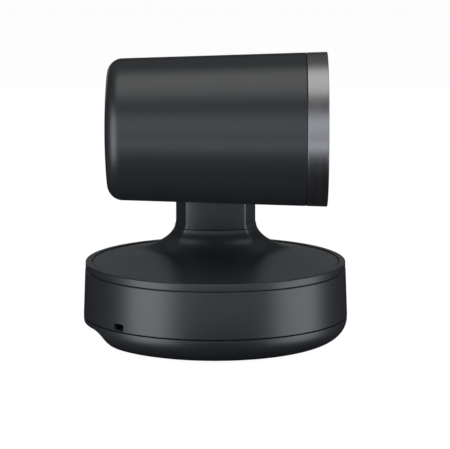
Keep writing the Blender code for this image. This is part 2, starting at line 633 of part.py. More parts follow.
def wiring_harness(turntable, look):
    """Cable bundle inside the arm, from the neck's channel up beside the tilt motor."""
    low, high = 48 * MM, 116 * MM
    curve = bpy.data.curves.new("wiring_harness", 'CURVE')
    curve.dimensions = '3D'
    curve.bevel_depth = 2.0 * MM
    curve.bevel_resolution = 2
    curve.use_fill_caps = True
    count = 13
    spline = curve.splines.new('POLY')
    spline.points.add(count - 1)
    for index, point in enumerate(spline.points):
        share = index / (count - 1)
        ease = share * share * (3 - 2 * share)
        point.co = (10 * MM + 4.5 * MM * ease, 41.7 * MM, low + (high - low) * share, 1.0)
    curve.materials.append(look)
    piece = bpy.data.objects.new("wiring_harness", curve)
    piece.parent = turntable
    bpy.context.scene.collection.objects.link(piece)


# ---------------------------------------------------------------- head

def head_shell(head, look):
    """Drum open at the front, with a hole at the far side for the hub."""
    corner = HEAD_REAR_CORNER
    corner_x = HEAD_REAR_X + HEAD_REAR_DOME + corner
    rear_r = head_radius(corner_x)
    outer = arc((rear_r - corner, corner_x), (corner, corner), 275, 360, 6)
    front_x = BEZEL_SEAM_X - GAP / 2
    small = corner - HEAD_WALL
    inner = arc((rear_r - corner, corner_x), (small, small), 360, 275, 4)
    dome = [(outer[0][0] * share, HEAD_REAR_X + HEAD_REAR_DOME * share ** 2) for share in (0.0, 0.4, 0.7)]
    outline = dome + outer
    outline += [(head_radius(front_x), front_x), (head_radius(front_x) - HEAD_WALL, front_x)]
    outline += inner + [(0.0, HEAD_REAR_X + HEAD_WALL)]
    shell = add(turned("head_shell", outline, WIDE, closed=False), head, look, (0, LENS_Y, 0), ALONG_X)
    cut(shell, rod("hub_hole", HUB_R + GAP, 15 * MM, 45 * MM, MIDDLE), rotation=ALONG_Y)


def front_pieces(head, looks):
    """Bezel, front glass, baffle and the ring around the lens."""
    place = (0, LENS_Y, 0)
    seam = BEZEL_SEAM_X + GAP / 2
    edge = 0.3 * MM
    inner_r = 41.0 * MM
    bezel = [(head_radius(seam), seam), (head_radius(HEAD_FRONT_X - edge), HEAD_FRONT_X - edge),
             (HEAD_FRONT_R - edge, HEAD_FRONT_X), (inner_r + edge, HEAD_FRONT_X),
             (inner_r, HEAD_FRONT_X - edge), (inner_r, seam)]
    add(turned("front_bezel", bezel, WIDE), head, looks["bezel"], place, ALONG_X)
    add(rod("front_glass", inner_r - GAP, 60.2 * MM, 62.2 * MM, WIDE), head, looks["glass"], place, ALONG_X)
    baffle = [(40.6 * MM, 58.6 * MM), (40.6 * MM, 59.8 * MM), (22.6 * MM, 54.0 * MM), (22.6 * MM, 52.8 * MM)]
    add(turned("front_baffle", baffle, MIDDLE), head, looks["black"], place, ALONG_X)
    ring = [(18.4 * MM, 49.5 * MM), (22.2 * MM, 49.5 * MM), (22.2 * MM, 54.6 * MM), (20.8 * MM, 55.4 * MM),
            (18.4 * MM, 52.6 * MM)]
    add(turned("lens_trim_ring", ring, MIDDLE), head, looks["bezel"], place, ALONG_X)


def lens_outline(radius, back, front, bulge_back, bulge_front, edge):
    """Half outline of a biconvex lens: two shallow arcs and a straight rim."""
    steps = 4
    back_points = [(radius * step / steps, back + bulge_back * (step / steps) ** 2)
                   for step in range(steps + 1)]
    front_points = [(radius * step / steps, front - bulge_front * (step / steps) ** 2)
                    for step in range(steps, -1, -1)]
    thinnest = front - bulge_front - back - bulge_back
    if thinnest < edge:
        raise ValueError("the lens has no rim")
    return back_points + front_points


def lens_pieces(head, zoom_axis, focus_axis, looks):
    """Barrel, front element, and the two sliding groups with their own elements."""
    place = (0, LENS_Y, 0)
    rim = 0.5 * MM
    barrel = [(15.6 * MM, 4 * MM), (18.0 * MM, 4 * MM), (18.0 * MM, 52 * MM), (15.6 * MM, 52 * MM)]
    add(turned("lens_barrel", barrel, MIDDLE), head, looks["black"], place, ALONG_X)
    front = lens_outline(15.3 * MM, 44 * MM, 51.6 * MM, 1.5 * MM, 3.2 * MM, rim)
    add(turned("front_lens", front, MIDDLE, closed=False), head, looks["lens"], place, ALONG_X)
    zoom = lens_outline(10.5 * MM, 20.5 * MM, 26.5 * MM, 1.8 * MM, 1.8 * MM, rim)
    focus = lens_outline(8.5 * MM, 10.0 * MM, 14.0 * MM, 1.0 * MM, 1.0 * MM, rim)
    groups = (("zoom", zoom_axis, 10.8 * MM, 20 * MM, 27 * MM, zoom),
              ("focus", focus_axis, 8.8 * MM, 10 * MM, 14 * MM, focus))
    for name, axis, bore, low, high, lens in groups:
        carriage = tube(name + "_carriage", bore, 15.2 * MM, low, high, MIDDLE)
        add(carriage, axis, looks["nylon"], place, ALONG_X)
        add(turned(name + "_lens", lens, MIDDLE, closed=False), axis, looks["lens"], place, ALONG_X)
    motors = (("zoom_motor", LENS_Y, -26 * MM), ("focus_motor", LENS_Y - 22.5 * MM, -13 * MM))
    for name, y, z in motors:
        add(rod(name, 5 * MM, 8 * MM, 26 * MM, SMALL), head, looks["motor"], (0, y, z), ALONG_X)


def head_chassis(head, look):
    """Side plate that carries the tilt shaft, with a block that clamps the lens barrel."""
    plate = block("head_chassis", (-42 * MM, 18 * MM, -17 * MM), (44 * MM, 20.5 * MM, 17 * MM))
    chassis = add(plate, head, look)
    join(chassis, block("barrel_clamp", (8 * MM, 2 * MM, -9 * MM), (40 * MM, 19 * MM, 9 * MM)))
    seat = rod("barrel_seat", 18.3 * MM, 0.0, 50 * MM, MIDDLE)
    cut(chassis, seat, location=(0, LENS_Y, 0), rotation=ALONG_X)


def head_electronics(head, looks):
    """Sensor with its board and heat sink, and the processor board behind them."""
    place = (0, LENS_Y, 0)
    add(extruded("image_sensor", rounded_rectangle(8 * MM, 10 * MM, 0.5 * MM, 2), 2.2 * MM, 3.5 * MM),
        head, looks["black"], place, ALONG_X)
    board = rounded_rectangle(34 * MM, 34 * MM, 2 * MM, 2)
    add(extruded("sensor_board", board, 0.3 * MM, 1.9 * MM), head, looks["board"], place, ALONG_X)
    processor = rounded_rectangle(50 * MM, 50 * MM, 3 * MM, 2)
    add(extruded("processor_board", processor, -34 * MM, -32.4 * MM), head, looks["board"], place, ALONG_X)
    fin_count = 6
    pitch = 6 * MM
    root_x, tip_x = -3 * MM, -13 * MM
    comb = [(0.0, fin_count * pitch - 4 * MM), (0.0, 0.0)]
    for fin in range(fin_count):
        low = fin * pitch
        comb += [(tip_x, low), (tip_x, low + 2 * MM)]
        if fin < fin_count - 1:
            comb += [(root_x, low + 2 * MM), (root_x, low + pitch)]
    half_height = 16 * MM
    sink = extruded("heat_sink", comb, -half_height, half_height)
    add(sink, head, looks["aluminium"], (0, LENS_Y - (fin_count * pitch - 4 * MM) / 2, 0))


def tilt_pieces(head, looks):
    """Hollow tilt shaft with its flange, the hub around it, and the tilt gear."""
    bore = 4.5 * MM
    shaft = [(bore, 20.8 * MM), (11 * MM, 20.8 * MM), (11 * MM, 23 * MM), (TILT_SHAFT_R, 23 * MM),
             (TILT_SHAFT_R, 53 * MM), (bore, 53 * MM)]
    add(turned("tilt_shaft", shaft, MIDDLE), head, looks["steel"], rotation=ALONG_Y)
    hub = tube("hub_collar", TILT_SHAFT_R + GAP, HUB_R, 24 * MM, NECK_NEAR_Y - GAP, MIDDLE)
    add(hub, head, looks["black"], rotation=ALONG_Y)
    gear = extruded("tilt_gear", gear_outline(TILT_GEAR_TEETH, TILT_MODULE), 48.3 * MM, 52.3 * MM)
    gear = add(gear, head, looks["nylon"], rotation=ALONG_Y)
    cut(gear, rod("tilt_gear_bore", TILT_SHAFT_R + GAP, 40 * MM, 60 * MM, MIDDLE), rotation=ALONG_Y)


# ---------------------------------------------------------------- whole camera

def make_looks():
    return {
        "shell": finish("graphite_plastic", (0.035, 0.038, 0.042), 0.42),
        "bezel": finish("dark_satin_metal", (0.16, 0.155, 0.16), 0.3, 1.0),
        "black": finish("black_plastic", (0.02, 0.02, 0.022), 0.5),
        "button": finish("button_plastic", (0.12, 0.12, 0.13), 0.45),
        "rubber": finish("foot_rubber", (0.02, 0.02, 0.02), 0.85),
        "steel": finish("bright_steel", (0.6, 0.6, 0.62), 0.3, 1.0),
        "aluminium": finish("cast_aluminium", (0.65, 0.66, 0.68), 0.42, 1.0),
        "motor": finish("motor_can", (0.35, 0.35, 0.37), 0.38, 1.0),
        "brass": finish("gear_brass", (0.7, 0.52, 0.22), 0.3, 1.0),
        "nylon": finish("white_nylon", (0.78, 0.77, 0.73), 0.5),
        "board": finish("circuit_board", (0.03, 0.16, 0.07), 0.45),
        "glass": finish("smoked_glass", (0.02, 0.02, 0.025), 0.05),
        "lens": finish("coated_lens", (0.05, 0.06, 0.1), 0.03),
        "light": finish("light_window", (0.85, 0.87, 0.9), 0.35),
        "cable": finish("cable_sleeve", (0.03, 0.03, 0.03), 0.7),
    }


def build():
    clear_scene()
    looks = make_looks()
    root = add_axis("base_origin", (0, 0, 0))
    button = add_axis("pairing_button_axis", (RECESS_DEEP_X, 23.3 * MM, PORT_Z), root)
    pan_pinion = add_axis("pan_pinion_axis", (PAN_CENTRES, 0, 0), root)
    turntable = add_axis("pan_axis", (0, 0, 0), root)
    tilt_pinion = add_axis("tilt_pinion_axis", (0, 0, TILT_Z - TILT_CENTRES), turntable)
    head = add_axis("tilt_axis", (0, 0, TILT_Z), turntable)
    zoom = add_axis("zoom_axis", (0, 0, 0), head)
    focus = add_axis("focus_axis", (0, 0, 0), head)

    base_housing(root, looks["shell"])
    rim_ring(root, looks["shell"])
    bottom_cover(root, looks["shell"])
    base_frame(root, looks["steel"])
    tripod_insert(root, looks["brass"])
    feet_and_screws(root, looks["rubber"], looks["steel"])
    ports(root, button, looks)
    small_base_pieces(root, looks)
    pan_drive(root, pan_pinion, turntable, looks)

    turntable_cover(turntable, looks["shell"])
    arm_shells(turntable, looks["shell"])
    arm_frame(turntable, looks["aluminium"])
    arm_contents(turntable, tilt_pinion, looks)

    head_shell(head, looks["shell"])
    front_pieces(head, looks)
    lens_pieces(head, zoom, focus, looks)
    head_chassis(head, looks["aluminium"])
    head_electronics(head, looks)
    tilt_pieces(head, looks)


build()
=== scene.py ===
import json
import math

import bmesh
import bpy
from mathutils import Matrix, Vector


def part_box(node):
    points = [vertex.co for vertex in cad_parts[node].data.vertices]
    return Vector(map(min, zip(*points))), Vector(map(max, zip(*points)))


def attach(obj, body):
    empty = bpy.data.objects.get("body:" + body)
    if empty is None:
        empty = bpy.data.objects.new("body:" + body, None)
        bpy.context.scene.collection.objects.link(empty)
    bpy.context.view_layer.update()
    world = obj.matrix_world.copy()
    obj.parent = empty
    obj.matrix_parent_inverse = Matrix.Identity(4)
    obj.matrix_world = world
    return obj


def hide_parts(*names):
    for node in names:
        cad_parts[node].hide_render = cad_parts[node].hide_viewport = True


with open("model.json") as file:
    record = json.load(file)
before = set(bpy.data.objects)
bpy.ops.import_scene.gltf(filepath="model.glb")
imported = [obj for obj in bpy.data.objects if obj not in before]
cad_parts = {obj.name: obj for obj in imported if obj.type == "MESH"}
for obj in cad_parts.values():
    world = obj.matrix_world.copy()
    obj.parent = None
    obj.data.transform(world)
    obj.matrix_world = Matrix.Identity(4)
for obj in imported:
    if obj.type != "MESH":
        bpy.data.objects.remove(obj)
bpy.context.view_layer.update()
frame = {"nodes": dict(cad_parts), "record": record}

MM = 0.001
# Sides of turned pieces, by size, and faces round each softened corner.
WIDE = 240
MIDDLE = 128
SMALL = 64
CORNER_STEPS = 5
SHARP_EDGE = math.radians(28)
WALL = 2.2 * MM

NODE_SLOT = {entry["node"]: entry["material_slot"] for entry in frame["record"]["subparts"]}
NODE_BODY = {node: body for body, nodes in frame["record"]["behaviour"]["bodies"].items() for node in nodes}


def low(node, axis):
    """Lowest coordinate of a CAD node along an axis, 0 to 2."""
    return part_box(node)[0][axis]


def high(node, axis):
    """Highest coordinate of a CAD node along an axis, 0 to 2."""
    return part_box(node)[1][axis]


def middle(node, axis):
    """Middle of a CAD node along an axis, 0 to 2."""
    return (low(node, axis) + high(node, axis)) / 2


# Places that several pieces share, read from the CAD model.
LENS_Y = middle("front_bezel", 1)
TILT_Z = middle("front_bezel", 2)
HEAD_FRONT_X = high("front_bezel", 0)
HEAD_FRONT_R = (high("front_bezel", 2) - low("front_bezel", 2)) / 2
HEAD_TAPER = 0.0315
NECK_HALF = high("arm_shell", 2) - TILT_Z
NECK_NEAR_Y = low("arm_shell", 1)
NECK_FAR_Y = high("arm_cover", 1)
NECK_BOTTOM_Z = low("arm_shell", 2)
DISC_R = high("turntable_cover", 0)
DISC_BOTTOM_Z = low("turntable_cover", 2)
DISC_TOP_Z = DISC_BOTTOM_Z + 2.2 * MM
NECK_SEAM_Z = high("turntable_cover", 2)
BAND_R = high("base_housing", 0)
BAND_BOTTOM_Z = low("base_housing", 2)
BAND_TOP_Z = high("base_housing", 2)
BOWL_BOTTOM_Z = low("bottom_cover", 2)
BOWL_TOP_Z = high("bottom_cover", 2)
RECESS_X = low("port_plate", 0)


# ---------------------------------------------------------------- axes and outlines

def upright(x=0.0, y=0.0):
    """A turning axis along Z through (x, y)."""
    return lambda radius, angle, height: (x + radius * math.cos(angle), y + radius * math.sin(angle), height)


def along_x(y=None, z=None):
    """A turning axis along X, through the lens's centre unless a place is given."""
    centre_y = LENS_Y if y is None else y
    centre_z = TILT_Z if z is None else z
    return lambda radius, angle, height: (
        height, centre_y + radius * math.cos(angle), centre_z + radius * math.sin(angle))


def along_y(x=0.0, z=None):
    """A turning axis along Y, through the tilt axis unless a place is given."""
    centre_z = TILT_Z if z is None else z
    return lambda radius, angle, height: (
        x + radius * math.cos(angle), height, centre_z + radius * math.sin(angle))


def softened(points, closed=True):
    """Round the corners of an outline of (across, along, corner radius) points."""
    result = []
    count = len(points)
    for index, (across, along, corner) in enumerate(points):
        here = Vector((across, along))
        if corner <= 0 or (not closed and index in (0, count - 1)):
            result.append((across, along))
            continue
        before = (Vector(points[index - 1][:2]) - here).normalized()
        after = (Vector(points[(index + 1) % count][:2]) - here).normalized()
        half = before.angle(after) / 2
        centre = here + (before + after).normalized() * (corner / math.sin(half))
        start = here + before * (corner / math.tan(half)) - centre
        end = here + after * (corner / math.tan(half)) - centre
        for step in range(CORNER_STEPS + 1):
            spoke = start.lerp(end, step / CORNER_STEPS).normalized() * corner
            result.append((centre.x + spoke.x, centre.y + spoke.y))
    return result


def arc(centre, radii, start, end, steps):
    """Points of an elliptic arc; angles in degrees."""
    points = []
    for step in range(steps + 1):
        angle = math.radians(start + (end - start) * step / steps)
        points.append((centre[0] + radii[0] * math.cos(angle), centre[1] + radii[1] * math.sin(angle)))
    return points


def rounded_rectangle(width, height, radius):
    """Outline of a rectangle about the origin with round corners."""
    x = width / 2 - radius
    y = height / 2 - radius
    points = []
    for centre, start in (((x, y), 0), ((-x, y), 90), ((-x, -y), 180), ((x, -y), 270)):
        points += arc(centre, (radius, radius), start, start + 90, 6)
    return points


# ---------------------------------------------------------------- solids

def solid(name, shape):
    """Turn a bmesh into an object with outward faces and smooth shading between its sharp edges."""
    bmesh.ops.recalc_face_normals(shape, faces=shape.faces)
    mesh = bpy.data.meshes.new(name)
    shape.to_mesh(mesh)
    shape.free()
    mesh.shade_smooth()
    mesh.set_sharp_from_angle(angle=SHARP_EDGE)
    piece = bpy.data.objects.new(name, mesh)
    bpy.context.scene.collection.objects.link(piece)
    return piece


def bridge(shape, lower, upper):
    """Faces between two rings of vertices; a ring of one vertex is a pole."""
    count = max(len(lower), len(upper))
    if count == 1:
        return
    for index in range(count):
        following = (index + 1) % count
        corners = [lower[index % len(lower)], lower[following % len(lower)],
                   upper[following % len(upper)], upper[index % len(upper)]]
        shape.faces.new(list(dict.fromkeys(corners)))


def turned_row(shape, radius, height, axis, around):
    """Vertices on one circle about an axis, or a single one on the axis itself."""
    on_axis = 1e-9
    turns = 1 if radius < on_axis else around
    return [shape.verts.new(axis(radius, 2 * math.pi * turn / around, height)) for turn in range(turns)]


def turned(name, outline, axis, around=MIDDLE, closed=True):
    """Spin an outline of (radius, height) points about an axis; an open outline ends on the axis."""
    shape = bmesh.new()
    rows = [turned_row(shape, radius, height, axis, around) for radius, height in outline]
    for lower, upper in zip(rows, rows[1:] + ([rows[0]] if closed else [])):
        bridge(shape, lower, upper)
    return solid(name, shape)


def lofted(name, rings):
    """Join rings of matching points into a closed solid with flat ends."""
    shape = bmesh.new()
    rows = [[shape.verts.new(point) for point in ring] for ring in rings]
    for lower, upper in zip(rows, rows[1:]):
        bridge(shape, lower, upper)
    shape.faces.new(list(reversed(rows[0])))
    shape.faces.new(rows[-1])
    return solid(name, shape)


def carve(piece, *cutters, operation='DIFFERENCE'):
    """Cut closed shapes out of a piece, or join them on, for good."""
    for cutter in cutters:
        modifier = piece.modifiers.new("cut", 'BOOLEAN')
        modifier.operation = operation
        modifier.solver = 'EXACT'
        modifier.object = cutter
    evaluated = piece.evaluated_get(bpy.context.evaluated_depsgraph_get())
    mesh = bpy.data.meshes.new_from_object(evaluated)
    piece.modifiers.clear()
    piece.data = mesh
    mesh.set_sharp_from_angle(angle=SHARP_EDGE)
    for cutter in cutters:
        bpy.data.objects.remove(cutter, do_unlink=True)


def install(piece, node, look):
    """The piece stands for a CAD node: the node is hidden, and the piece takes the given look and joins the
    node's body.
    """
    piece.data.materials.clear()
    piece.data.materials.append(look)
    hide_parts(node)
    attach(piece, NODE_BODY[node])


# ---------------------------------------------------------------- materials

def surface(name, colour, roughness, metallic=0.0, grain=2600.0, relief=0.012 * MM, mottle=0.08,
            spread=0.05, stretch=(1.0, 1.0, 1.0), **constants):
    """A Principled material with broad colour variation, uneven gloss and fine grain if it has relief."""
    material = bpy.data.materials.new(name)
    material.use_nodes = True
    nodes = material.node_tree.nodes
    links = material.node_tree.links
    shader = nodes["Principled BSDF"]
    shader.inputs["Metallic"].default_value = metallic
    for socket, value in constants.items():
        shader.inputs[socket.replace("_", " ")].default_value = value

    place = nodes.new("ShaderNodeTexCoord")
    mapping = nodes.new("ShaderNodeMapping")
    mapping.inputs["Scale"].default_value = stretch
    links.new(place.outputs["Object"], mapping.inputs["Vector"])

    fine = nodes.new("ShaderNodeTexNoise")
    fine.inputs["Scale"].default_value = grain
    fine.inputs["Detail"].default_value = 3.0
    links.new(mapping.outputs["Vector"], fine.inputs["Vector"])
    broad = nodes.new("ShaderNodeTexNoise")
    broad.inputs["Scale"].default_value = 35.0
    broad.inputs["Detail"].default_value = 2.0
    links.new(place.outputs["Object"], broad.inputs["Vector"])

    tint = nodes.new("ShaderNodeMix")
    tint.data_type = 'RGBA'
    tint.inputs["A"].default_value = (*(channel * (1 - mottle) for channel in colour), 1.0)
    tint.inputs["B"].default_value = (*(channel * (1 + mottle) for channel in colour), 1.0)
    links.new(broad.outputs["Fac"], tint.inputs["Factor"])
    links.new(tint.outputs["Result"], shader.inputs["Base Color"])

    gloss = nodes.new("ShaderNodeMapRange")
    gloss.inputs["From Min"].default_value = 0.25
    gloss.inputs["From Max"].default_value = 0.75
    gloss.inputs["To Min"].default_value = max(roughness - spread, 0.0)
    gloss.inputs["To Max"].default_value = roughness + spread
    links.new(fine.outputs["Fac"], gloss.inputs["Value"])
    links.new(gloss.outputs["Result"], shader.inputs["Roughness"])

    if relief > 0:
        bump = nodes.new("ShaderNodeBump")
        bump.inputs["Strength"].default_value = 0.5
        bump.inputs["Distance"].default_value = relief
        links.new(fine.outputs["Fac"], bump.inputs["Height"])
        links.new(bump.outputs["Normal"], shader.inputs["Normal"])
    return material


def circuit_board(name):
    """Solder resist with a grid of copper tracks showing through as lighter green."""
    material = surface(name, (0.012, 0.10, 0.04), 0.4, grain=900.0)
    nodes = material.node_tree.nodes
    links = material.node_tree.links
    tracks = nodes.new("ShaderNodeTexBrick")
    tracks.inputs["Scale"].default_value = 260.0
    tracks.inputs["Mortar Size"].default_value = 0.06
    tracks.inputs["Color1"].default_value = (0.010, 0.09, 0.035, 1.0)
    tracks.inputs["Color2"].default_value = (0.014, 0.12, 0.045, 1.0)
    tracks.inputs["Mortar"].default_value = (0.06, 0.24, 0.08, 1.0)
    place = next(node for node in nodes if node.type == 'TEX_COORD')
    links.new(place.outputs["Object"], tracks.inputs["Vector"])
    links.new(tracks.outputs["Color"], nodes["Principled BSDF"].inputs["Base Color"])
    return material


def make_looks():
    """A material for each of the record's material slots."""
    turned_metal = (900.0, 12.0, 12.0)
    return {
        "graphite_shell": surface("graphite_plastic", (0.016, 0.017, 0.0195), 0.38),
        "dark_bezel_metal": surface("dark_anodised_metal", (0.25, 0.246, 0.256), 0.37, 1.0, grain=1.0,
                                    relief=0.0006 * MM, stretch=turned_metal, spread=0.03, mottle=0.04),
        "black_trim": surface("black_moulding", (0.012, 0.012, 0.013), 0.5, grain=1800.0),
        "button_plastic": surface("button_plastic", (0.10, 0.10, 0.11), 0.42, grain=2000.0),
        "foot_rubber": surface("foot_rubber", (0.014, 0.014, 0.014), 0.8, grain=1500.0, relief=0.04 * MM,
                               spread=0.1),
        "bright_steel": surface("plated_steel", (0.60, 0.60, 0.62), 0.28, 1.0, grain=1600.0,
                                relief=0.004 * MM),
        "cast_aluminium": surface("cast_aluminium", (0.62, 0.63, 0.65), 0.45, 1.0, grain=700.0,
                                  relief=0.03 * MM, spread=0.1),
        "motor_can": surface("motor_can", (0.32, 0.32, 0.34), 0.33, 1.0, grain=1200.0, relief=0.004 * MM),
        "brass_parts": surface("machined_brass", (0.68, 0.48, 0.19), 0.26, 1.0, grain=1400.0,
                               relief=0.005 * MM),
        "nylon_gear": surface("natural_nylon", (0.72, 0.70, 0.64), 0.45, grain=1100.0),
        "circuit_board": circuit_board("solder_resist"),
        "smoked_glass": surface("smoked_glass", (0.24, 0.24, 0.26), 0.02, grain=25.0, relief=0.0,
                                mottle=0.02, spread=0.004, Transmission_Weight=1.0, IOR=1.25),
        "coated_lens": surface("coated_lens", (0.55, 0.50, 0.72), 0.015, grain=25.0, relief=0.0,
                               mottle=0.1, spread=0.004, Transmission_Weight=1.0, IOR=1.6,
                               Coat_Weight=0.6, Coat_Tint=(0.45, 0.35, 0.95, 1.0)),
        "light_window": surface("light_window", (0.62, 0.65, 0.68), 0.3, grain=900.0, mottle=0.04),
        "cable_sleeve": surface("cable_sleeve", (0.02, 0.02, 0.02), 0.65, grain=1300.0, relief=0.05 * MM),
    }


# ---------------------------------------------------------------- base

def band_radius(z):
    """Outer radius of the band: it narrows a little towards its top."""
    narrow_r = 75.0 * MM
    share = (z - BAND_BOTTOM_Z) / (BAND_TOP_Z - BAND_BOTTOM_Z)
    return BAND_R + (narrow_r - BAND_R) * share


def bowl_radius(z):
    """Outer radius of the bowl-shaped bottom cover at a height."""
    flat_r = 58.3 * MM
    power = 2.23
    depth = (BOWL_TOP_Z - z) / (BOWL_TOP_Z - BOWL_BOTTOM_Z)
    return flat_r + (BAND_R - flat_r) * (1.0 - depth ** power) ** (1.0 / power)


def radial_cutter(name, azimuth, z, width, height, corner, radii, flare):
    """A rounded slot that runs along a radius; its outer end is wider by flare for a bevelled mouth."""
    outward = Vector((math.cos(azimuth), math.sin(azimuth), 0.0))
    across = Vector((-math.sin(azimuth), math.cos(azimuth), 0.0))
    rings = []
    for radius, grow in zip(radii, flare):
        outline = rounded_rectangle(width + 2 * grow, height + 2 * grow, corner + grow)
        rings.append([outward * radius + across * a + Vector((0, 0, z + b)) for a, b in outline])
    return lofted(name, rings)


def base_band(look):
    """Band of the base with the lock slot at the rear and the status light's window at the front."""
    deck = 2.5 * MM
    boss_r = 17.0 * MM
    top_r = band_radius(BAND_TOP_Z)
    outline = softened([
        (BAND_R, BAND_BOTTOM_Z, 0.35 * MM), (top_r, BAND_TOP_Z, 0.6 * MM),
        (boss_r, BAND_TOP_Z, 0.3 * MM), (boss_r, 34 * MM, 0.3 * MM), (boss_r + deck, 34 * MM, 0.3 * MM),
        (boss_r + deck, BAND_TOP_Z - deck, 0.0), (top_r - WALL, BAND_TOP_Z - deck, 1 * MM),
        (BAND_R - WALL, BAND_BOTTOM_Z, 0.2 * MM)])
    band = turned("base_band", outline, upright(), WIDE)
    radii = (68 * MM, 75.2 * MM, 76.4 * MM)
    slot_x, slot_y, slot_z = (middle("security_slot_insert", axis) for axis in range(3))
    slot = radial_cutter("slot", math.atan2(slot_y, slot_x), slot_z, 7.0 * MM, 3.3 * MM, 0.6 * MM,
                         radii, (0.0, 0.0, 0.55 * MM))
    light = radial_cutter("light", 0.0, middle("status_light", 2), 8.3 * MM, 2.3 * MM, 1.1 * MM,
                          radii, (0.0, 0.0, 0.5 * MM))
    carve(band, slot, light)
    install(band, "base_housing", look)


def rim(look):
    """Narrow ring round the turntable, on top of the band."""
    outer = high("rim_ring", 0)
    inner = 71.25 * MM
    bottom, top = low("rim_ring", 2), high("rim_ring", 2)
    outline = softened([(outer, bottom, 0.3 * MM), (outer, top, 0.7 * MM),
                        (inner, top, 0.5 * MM), (inner, bottom, 0.2 * MM)])
    install(turned("turntable_rim", outline, upright(), WIDE), "rim_ring", look)


def bowl_body():
    """The bowl as a full solid, with points closest together where it curves most."""
    steps = 22
    lip = 0.3 * MM
    outline = [(0.0, BOWL_BOTTOM_Z)]
    for step in range(steps):
        z = min(BOWL_BOTTOM_Z + (BOWL_TOP_Z - BOWL_BOTTOM_Z) * (step / steps) ** 1.9, BOWL_TOP_Z - lip)
        outline.append((bowl_radius(z), z))
    outline += [(BAND_R - 0.05 * MM, BOWL_TOP_Z - 0.12 * MM), (BAND_R - lip, BOWL_TOP_Z), (0.0, BOWL_TOP_Z)]
    return turned("base_bowl", outline, upright(), WIDE, closed=False)


def bowl_hollow():
    """Cutter for the inside of the bowl; it keeps the wall that the recess is cut into."""
    inner = [(0.0, BOWL_BOTTOM_Z + WALL), (57 * MM, BOWL_BOTTOM_Z + WALL)]
    inner += [(bowl_radius(z) - WALL, z) for z in (5 * MM, 7 * MM, 9.5 * MM, 12.5 * MM)]
    inner += [(BAND_R - WALL, 24 * MM), (0.0, 24 * MM)]
    hollow = turned("hollow", inner, upright(), WIDE, closed=False)
    wall_x = RECESS_X + 2.4 * MM
    carve(hollow, box_cutter("port_block", (-90 * MM, wall_x), (-46 * MM, 46 * MM), (0.0, 30 * MM)))
    return hollow


def box_cutter(name, xs, ys, zs):
    """Box between two places on each axis."""
    corners = ((ys[0], zs[0]), (ys[1], zs[0]), (ys[1], zs[1]), (ys[0], zs[1]))
    return lofted(name, [[(x, y, z) for y, z in corners] for x in xs])


def recess_cutter():
    """Cutter for the cable recess: an arch with superelliptic shoulders and slanted feet."""
    top_half, shoulder = 27.5 * MM, 12.5 * MM
    spring_z, rise = 5 * MM, 8.2 * MM
    power, steps = 3.0, 16
    right = [(43.5 * MM, -2 * MM)]
    for step in range(steps + 1):
        angle = math.pi / 2 * step / steps
        across = max(math.cos(angle), 0.0) ** (2 / power)
        right.append((top_half + shoulder * across, spring_z + rise * math.sin(angle) ** (2 / power)))
    arch = right + [(-y, z) for y, z in reversed(right)]
    return lofted("recess", [[(x, y, z) for y, z in arch] for x in (-90 * MM, RECESS_X)])


def round_cutter(name, outline, x=0.0, y=0.0):
    """Upright turned cutter at (x, y)."""
    return turned(name, outline, upright(x, y), SMALL, closed=False)


def bowl(look):
    """Bowl under the base, cut by the arched cable recess and the pockets for feet and screws."""
    shell = bowl_body()
    gap = 0.3 * MM
    half = high("port_plate", 1) + gap
    window = box_cutter("window", (-52 * MM, -40 * MM), (-half, half),
                        (low("port_plate", 2) - gap, high("port_plate", 2) + gap))
    insert_hole = [(0, 0), (8.3 * MM, 0), (8.3 * MM, 6 * MM), (0, 6 * MM)]
    carve(shell, bowl_hollow(), recess_cutter(), window, round_cutter("insert_hole", insert_hole))
    pocket = [(0.0, 0.0), (7.3 * MM, 0.0), (7.3 * MM, 2.1 * MM), (0.0, 2.1 * MM)]
    head_r, shank_r, step_z = 3 * MM, 1.5 * MM, 3 * MM
    hole = [(0.0, 0.0), (head_r, 0.0), (head_r, step_z), (shank_r, step_z), (shank_r, 8 * MM), (0.0, 8 * MM)]
    for number in range(1, 5):
        foot, screw = "foot_%d" % number, "base_screw_%d" % number
        carve(shell, round_cutter("pocket", pocket, middle(foot, 0), middle(foot, 1)),
              round_cutter("hole", hole, middle(screw, 0), middle(screw, 1)))
    install(shell, "bottom_cover", look)


def feet(look):
    """Rubber feet with rounded edges and a shallow dish in the sole."""
    for number in range(1, 5):
        node = "foot_%d" % number
        radius = (high(node, 0) - low(node, 0)) / 2
        bottom, top = low(node, 2), high(node, 2)
        dish = bottom + 0.25 * MM
        outline = softened([
            (0.0, dish, 0.0), (3.0 * MM, dish, 0.1 * MM), (3.4 * MM, bottom, 0.1 * MM),
            (radius - 0.2 * MM, bottom, 0.5 * MM), (radius, bottom + 1.2 * MM, 0.2 * MM),
            (radius, top, 0.1 * MM), (0.0, top, 0.0)], closed=False)
        axis = upright(middle(node, 0), middle(node, 1))
        install(turned("rubber_" + node, outline, axis, SMALL, closed=False), node, look)


def lobed_socket(axis, radius, depth_from, depth_to):
    """Cutter for a six-lobed drive recess."""
    around = 48
    rings = []
    for depth in (depth_from, depth_to):
        ring = []
        for step in range(around):
            angle = 2 * math.pi * step / around
            ring.append(axis(radius * (1 + 0.16 * math.cos(6 * angle)), angle, depth))
        rings.append(ring)
    return lofted("drive", rings)


def screws(look):
    """Pan-head screws with six-lobed recesses, under the base and on the back of the arm."""
    for number in range(1, 5):
        node = "base_screw_%d" % number
        axis = upright(middle(node, 0), middle(node, 1))
        make_screw(node, axis, low(node, 2), high(node, 2), look)
    for number in (1, 2):
        node = "arm_screw_%d" % number
        axis = along_y(middle(node, 0), middle(node, 2))
        make_screw(node, axis, high(node, 1), low(node, 1), look)


